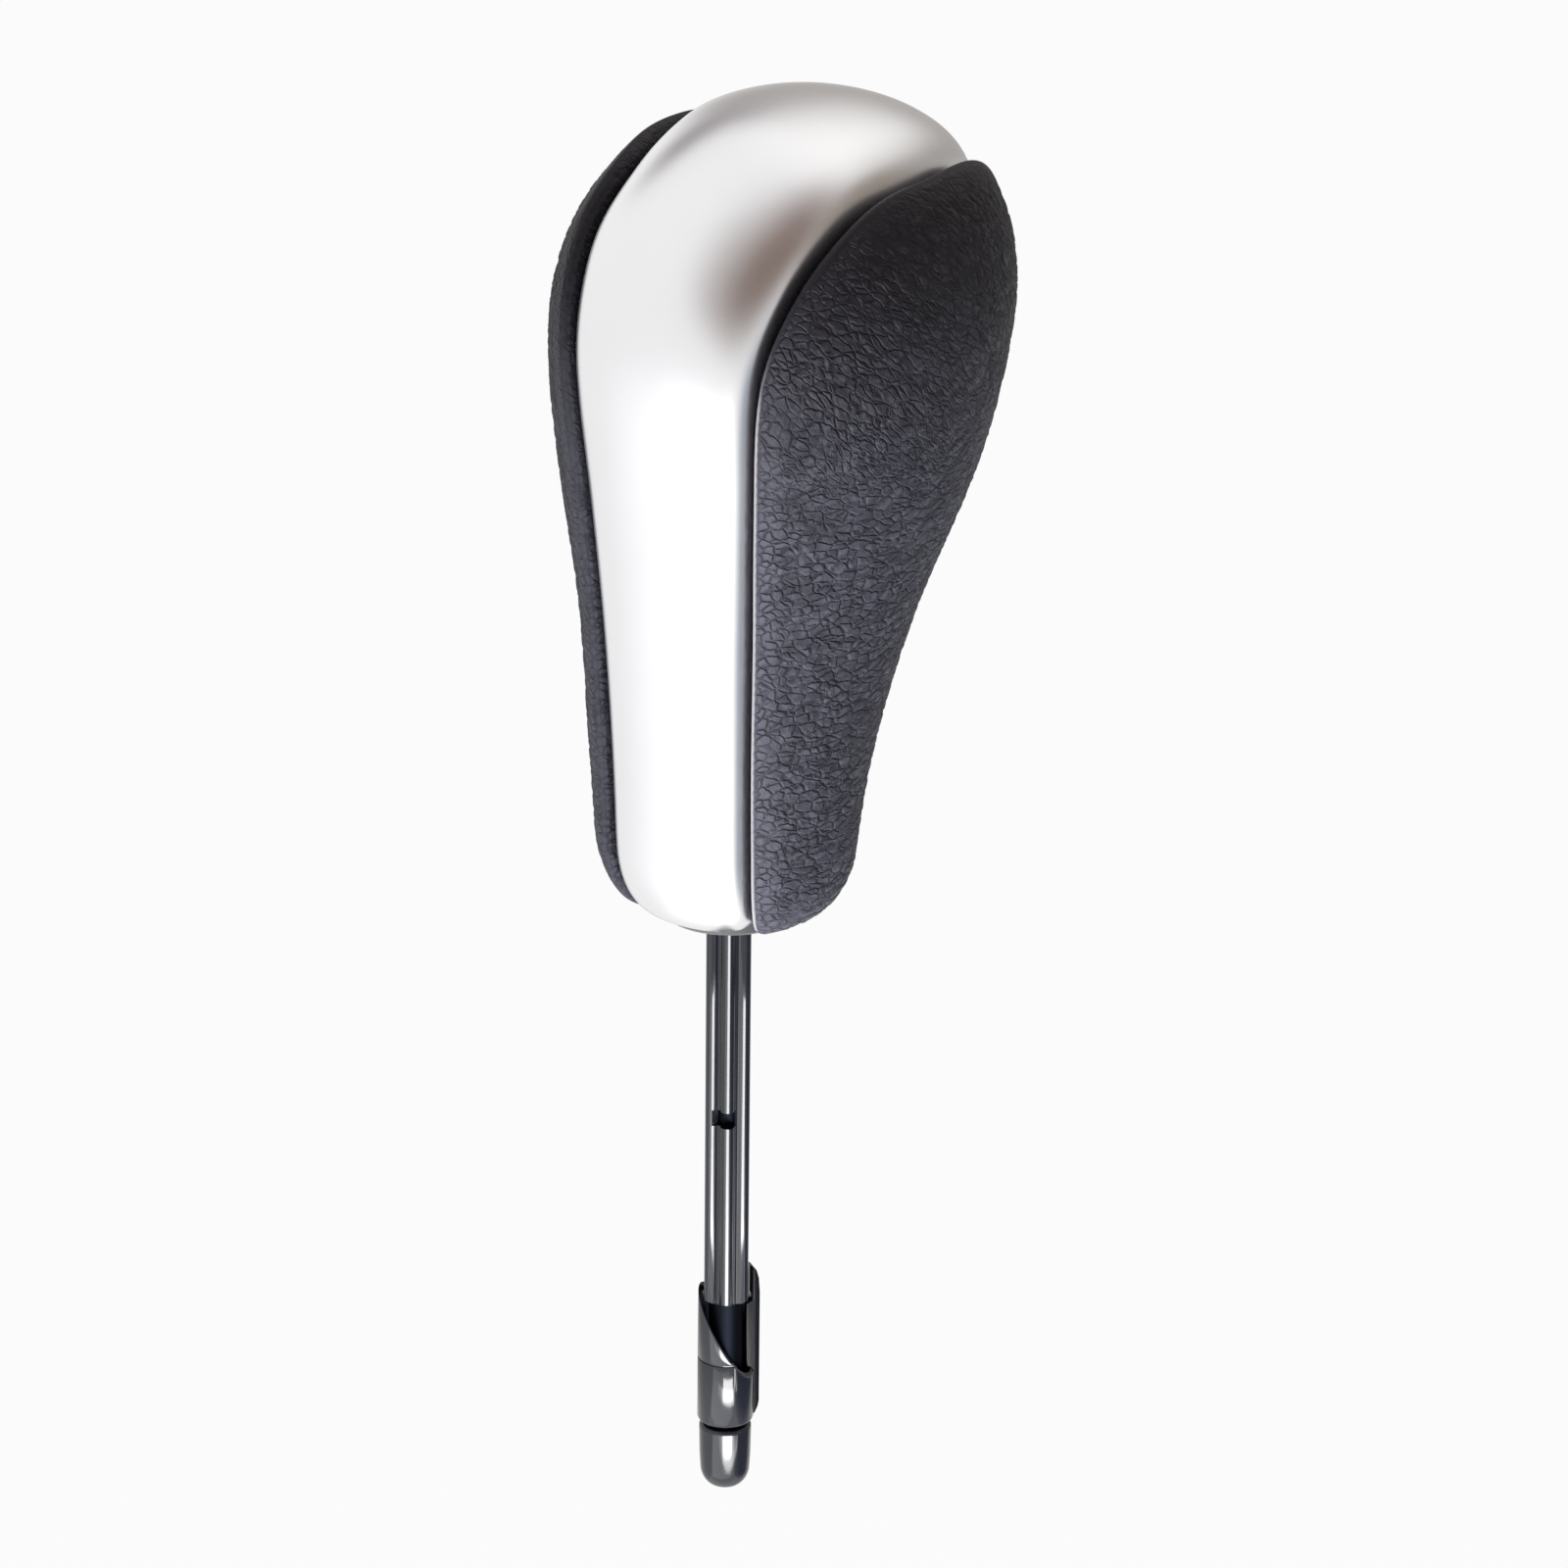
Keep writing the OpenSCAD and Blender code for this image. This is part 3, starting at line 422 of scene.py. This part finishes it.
def ribbed_rod():
    """Rings drawn downwards from the top of the shank to the rounded tip, each (height, outline)."""
    def plain(radius):
        return lambda angle: radius

    def rib_end(angle):
        return rib_reach(angle, 0.3)

    def notch(angle):
        off = (angle - REAR_RIB + math.pi) % math.tau - math.pi
        return NOTCH_R if NOTCH_START < off < NOTCH_END else rib_reach(angle)

    rings = [
        (58.78, plain(1.5)), (58.5, plain(1.8)), (2.03, plain(1.8)), (2.0, plain(CORE_R - 0.1)),
        (1.4, plain(CORE_R)), (1.38, rib_end), (1.1, rib_reach), (-12, rib_reach),
        (-25.55, rib_reach), (-25.6, notch), (-27.6, notch), (-27.66, rib_reach),
        (-40, rib_reach), (-51.7, rib_reach), (-52, rib_end), (-52.03, plain(CORE_R)),
        (-69.1, plain(CORE_R)), (-69.22, plain(2.9)), (-69.3, plain(3.1)), (-69.55, plain(TIP_R - 0.02)),
        (-69.8, plain(TIP_R)), (-73.4, plain(TIP_R - 0.06)), (TIP_SHOULDER, plain(TIP_R - 0.16))]
    for step in range(1, 10):
        tilt = math.radians(10 * step)
        bulge = (TIP_R - 0.16 - TIP_FLAT) * max(0, math.cos(tilt)) ** 0.9
        rings.append((TIP_SHOULDER - TIP_HEIGHT * math.sin(tilt), plain(TIP_FLAT + bulge)))
    bm = bmesh.new()
    bmesh.ops.create_circle(bm, segments=144, radius=1)
    loop = bm.edges[:]
    bmesh.ops.contextual_create(bm, geom=loop)
    for count, (height, outline) in enumerate(rings):
        if count:
            grown = bmesh.ops.extrude_edge_only(bm, edges=loop)["geom"]
            loop = [line for line in grown if isinstance(line, bmesh.types.BMEdge)]
        for v in {v for line in loop for v in line.verts}:
            angle = math.atan2(v.co.y, v.co.x)
            reach = outline(angle) * mm
            v.co = Vector((reach * math.cos(angle), reach * math.sin(angle), height * mm))
    bmesh.ops.contextual_create(bm, geom=loop)
    bmesh.ops.recalc_face_normals(bm, faces=bm.faces)
    return crisp(put("ribbed_rod", bm, "rod", "gloss_black", "push_rod"))


CAM_R, CAM_BORE, CAM_LOW, CAM_TOP = 3.55, 3.13, -68.62, -50.42
GROOVE_Z, CUT_Z = -59.97, -56.42
CUT_SLOPE = Matrix.Rotation(math.radians(12), 3, "Z") @ Matrix.Rotation(math.atan(12 / 7.1), 3, "Y")
FIN_TURN, FIN_THICK = math.radians(52), 2.4


def slanted_sleeve():
    """A turned sleeve with a parting groove, cut off on a slant."""
    profile = [
        (2.2, CAM_LOW), (3.1, CAM_LOW), (3.42, CAM_LOW + 0.12), (CAM_R, CAM_LOW + 0.42),
        (CAM_R, GROOVE_Z - 0.19), (CAM_R - 0.04, GROOVE_Z - 0.09), (CAM_R - 0.16, GROOVE_Z - 0.07),
        (CAM_R - 0.16, GROOVE_Z + 0.07), (CAM_R - 0.04, GROOVE_Z + 0.09), (CAM_R, GROOVE_Z + 0.19),
        (CAM_R - 0.05, CAM_TOP), (CAM_BORE, CAM_TOP), (CAM_BORE, CAM_LOW + 4.6), (2.2, CAM_LOW + 3.6)]
    bm = bmesh.new()
    corners = [bm.verts.new((radius * mm, 0, height * mm)) for radius, height in profile]
    outline = [bm.edges.new((a, b)) for a, b in zip(corners, corners[1:] + corners[:1])]
    bmesh.ops.spin(
        bm, geom=corners + outline, axis=(0, 0, 1), cent=(0, 0, 0), angle=math.tau, steps=120, use_merge=True)
    way = CUT_SLOPE @ Vector((0, 0, 1))
    middle = Vector((0, 0, CUT_Z * mm))
    bmesh.ops.bisect_plane(
        bm, geom=bm.verts[:] + bm.edges[:] + bm.faces[:], plane_co=middle, plane_no=way, clear_outer=True)
    rim = [line for line in bm.edges if line.is_boundary]
    bmesh.ops.bridge_loops(bm, edges=rim)
    bmesh.ops.recalc_face_normals(bm, faces=bm.faces)

    # The rim of the cut is rounded, apart from where it crosses the groove
    def on_cut(v):
        return abs(way.dot(v.co - middle)) < 0.01 * mm and abs(v.co.z - GROOVE_Z * mm) > 0.3 * mm

    sharp = [line for line in bm.edges if line.is_manifold and line.calc_face_angle() > math.radians(30)]
    cut = [line for line in sharp if all(on_cut(v) for v in line.verts)]
    bmesh.ops.bevel(bm, geom=cut, offset=0.07 * mm, segments=2, profile=0.5, affect="EDGES", material=-1)
    return crisp(put("slanted_sleeve", bm, "rod", "gloss_black", "cam_sleeve"))


def sleeve_fin():
    """A flat fin with rounded edges that stands up from the wall of the sleeve."""
    side = [
        (3.16, CAM_LOW + 0.4), (3.55, CAM_LOW + 0.4), (4.0, CAM_LOW + 1.4), (4.14, CAM_LOW + 2.2),
        (4.14, -51.4), (4.0, -49.4), (3.66, -48.2), (3.16, -47.85),
        (3.16, -52.3), (2.3, -52.6), (2.3, CAM_LOW + 5), (3.16, CAM_LOW + 5)]
    bm = bmesh.new()
    face = bm.faces.new([bm.verts.new((radius * mm, -FIN_THICK / 2 * mm, height * mm)) for radius, height in side])
    grown = bmesh.ops.extrude_face_region(bm, geom=[face])["geom"]
    far_side = [v for v in grown if isinstance(v, bmesh.types.BMVert)]
    bmesh.ops.translate(bm, vec=(0, FIN_THICK * mm, 0), verts=far_side)
    bmesh.ops.recalc_face_normals(bm, faces=bm.faces)
    bmesh.ops.bevel(
        bm, geom=bm.edges[:], offset=0.2 * mm, segments=3, profile=0.5, affect="EDGES", material=-1)
    bmesh.ops.rotate(bm, cent=(0, 0, 0), matrix=Matrix.Rotation(FIN_TURN, 3, "Z"), verts=bm.verts)
    crisp(put("sleeve_fin", bm, "rod", "gloss_black"))


def coil_spring():
    coil = smoothed(put("coil_spring", merged("return_spring"), "knob", "spring_steel", "return_spring"), 1)
    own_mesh(coil)


for node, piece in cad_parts.items():
    slot = piece.data.materials[0].name.split(".")[0]
    piece.material_slots[0].material = finishes[slot]

silver_part("spine_trim", "spine_strip", "knob")
silver_part("front_trim", "front_strip", "knob")
silver_part("release_button", "button_face", "button")
leathers = [leather_cover("left_leather", "left_cover"), leather_cover("right_leather", "right_cover")]
grip_shell("left_grip_shell", "left_shell")
grip_shell("right_grip_shell", "right_shell")
rod_pieces = [ribbed_rod(), slanted_sleeve()]
sleeve_fin()
coil_spring()


# Floor, cards, lamps and world
CENTRE = Vector((0, 0.008, 0.04))
ROD_MIDDLE = Vector((0, 0, -0.045))
FLOOR_Z, FLOOR_SIZE = -0.6, 18


def emptied(owner):
    """A wire to start from in the emptied node tree of a material or world."""
    owner.use_nodes = True
    owner.node_tree.nodes.clear()
    return Wire(owner.node_tree)


def seen_ray(start):
    """1 on the rays that show the backdrop, straight or in a reflection, and 0 on those that light the part."""
    camera, glossy, through = (
        start.node("LightPath", out=f"Is {kind} Ray") for kind in ("Camera", "Glossy", "Transmission"))
    return (camera + glossy + through).least(1)


def card_paint(name, shade, width, height, core):
    """A card that glows in its shade and fades out from its core, a share of its reach, to its rim."""
    made = bpy.data.materials.new(name)
    start = emptied(made)
    place = start.node("TexCoord", out="Object").at((2 / width, 2 / height, 0))
    reach = place.vector("LENGTH", out="Value")
    glow = start.node("Emission", None, {"Color": (*shade, 1)})
    clear = start.node("BsdfTransparent")
    start.node("MixShader", None, {0: reach.between(core, 1), 1: glow, 2: clear}).end("Material")
    return made


def facing(azimuth, elevation, distance, centre):
    """A place round a centre, turned towards it. Azimuth 0 is the driver's side and 90 the right."""
    a, e = math.radians(azimuth), math.radians(elevation)
    way = Vector((math.sin(a) * math.cos(e), -math.cos(a) * math.cos(e), math.sin(e)))
    return Matrix.Translation(centre + distance * way) @ way.to_track_quat("Z", "Y").to_matrix().to_4x4()


def staged(name, width, height, material):
    bm = bmesh.new()
    bmesh.ops.create_grid(bm, x_segments=1, y_segments=1, size=0.5)
    bmesh.ops.scale(bm, vec=(width, height, 1), verts=bm.verts)
    mesh = bpy.data.meshes.new(name)
    bm.to_mesh(mesh)
    bm.free()
    mesh.materials.append(material)
    sheet = bpy.data.objects.new(name, mesh)
    bpy.context.scene.collection.objects.link(sheet)
    return sheet


def card(name, azimuth, elevation, distance, width, height, shade, core=0.6):
    made = staged(name, width, height, card_paint(name, shade, width, height, core))
    made.matrix_world = facing(azimuth, elevation, distance, CENTRE)
    made.visible_camera = False
    made.visible_shadow = False


def softbox(name, azimuth, elevation, distance, width, height, glow, centre=CENTRE, only=()):
    """A lamp that lights all pieces, or only some."""
    lamp = bpy.data.lights.new(name, "AREA")
    lamp.shape = "RECTANGLE"
    lamp.size = width
    lamp.size_y = height
    lamp.energy = glow * math.pi * width * height
    made = bpy.data.objects.new(name, lamp)
    made.matrix_world = facing(azimuth, elevation, distance, centre)
    bpy.context.scene.collection.objects.link(made)
    if only:
        lit = bpy.data.collections.new(name + "_lit")
        for piece in only:
            lit.objects.link(piece)
        made.light_linking.receiver_collection = lit


def pale_floor():
    made = bpy.data.materials.new("pale_floor")
    start = emptied(made)
    faint = start.node("TexCoord", out="Object").cloud(3, 2)
    paint = start.node("BsdfDiffuse", None, {"Color": faint.shade((0.9, 0.9, 0.9), (0.93, 0.93, 0.93))})
    white = start.node("Emission", None, {"Color": (1, 1, 1, 1), "Strength": 1.03})
    start.node("MixShader", None, {0: seen_ray(start) * 0.92, 1: paint, 2: white}).end("Material")
    return made


def light_world():
    world = bpy.data.worlds.new("studio")
    bpy.context.scene.world = world
    start = emptied(world)
    strength = seen_ray(start) * 0.76 + 0.22
    start.node("Background", None, {"Color": (1, 1, 1, 1), "Strength": strength}).end("World")


# The camera of the photo: its angles in degrees, its place in mm from the origin, and its lens
CAMERA_TURN, CAMERA_RISE, CAMERA_ROLL = 32, 20, 0.65
CAMERA_RIGHT, CAMERA_UP, CAMERA_BACK = 6.72, 15.72, 660
CAMERA_LENS = 123.75


def aim_camera():
    turn, rise, roll = (math.radians(angle) for angle in (CAMERA_TURN, CAMERA_RISE, CAMERA_ROLL))
    right = Vector((math.cos(turn), math.sin(turn), 0))
    ahead = Vector((-math.sin(turn) * math.cos(rise), math.cos(turn) * math.cos(rise), -math.sin(rise)))
    up = right.cross(ahead)
    right, up = right * math.cos(roll) + up * math.sin(roll), up * math.cos(roll) - right * math.sin(roll)
    lens = bpy.data.cameras.new("camera")
    lens.lens = CAMERA_LENS
    lens.clip_start = 0.01
    lens.clip_end = 20
    camera = bpy.data.objects.new("camera", lens)
    bpy.context.scene.collection.objects.link(camera)
    turned = Matrix((right, up, -ahead)).transposed().to_4x4()
    turned.translation = CAMERA_RIGHT * mm * right + CAMERA_UP * mm * up - CAMERA_BACK * mm * ahead
    camera.matrix_world = turned
    bpy.context.scene.camera = camera


floor = staged("floor", FLOOR_SIZE, FLOOR_SIZE, pale_floor())
floor.location.z = FLOOR_Z
card("back_wall", 180, 25, 0.8, 1.9, 1.3, (0.4, 0.38, 0.36))
card("left_wall", -122, 40, 0.7, 0.78, 0.44, (0.29, 0.26, 0.27), 0.25)
card("crown_glow", 165, 52, 0.6, 1.3, 1.1, (1.14, 1.12, 1.1), 0)
card("brown_wall", 64, 38, 0.62, 2.3, 1.15, (0.21, 0.145, 0.12), 0.15)
card("brown_side", 124, 12, 0.65, 0.9, 0.6, (0.27, 0.23, 0.19), 0.4)
card("dark_wall", 119, -31, 0.55, 1.2, 0.58, (0.125, 0.14, 0.185), 0.4)
card("left_low", -142, -20, 0.6, 1, 0.55, (0.22, 0.22, 0.24), 0.3)
card("right_low", 80, -20, 0.5, 0.36, 0.5, (0.22, 0.27, 0.34), 0.3)
card("front_glow", -15, -38, 0.5, 1.1, 0.85, (1.24, 1.23, 1.26), 0.1)
softbox("low_strip", 43, -24, 0.5, 0.32, 0.16, 17, ROD_MIDDLE, rod_pieces)
softbox("tip_strip", 48, -28, 0.45, 0.81, 0.1, 10.5, ROD_MIDDLE * 1.5, rod_pieces)
softbox("leather_fill", 66, -24, 0.6, 0.6, 0.5, 1.1, CENTRE, leathers)
softbox("leather_rake", 14, -34, 0.5, 0.2, 0.2, 17, CENTRE, leathers[1:])
softbox("front_low", 16, -40, 0.42, 0.5, 0.3, 1.1)
softbox("table_bounce", 20, -64, 0.28, 0.34, 0.34, 0.5)
light_world()
aim_camera()
bpy.context.scene.view_settings.view_transform = "Standard"
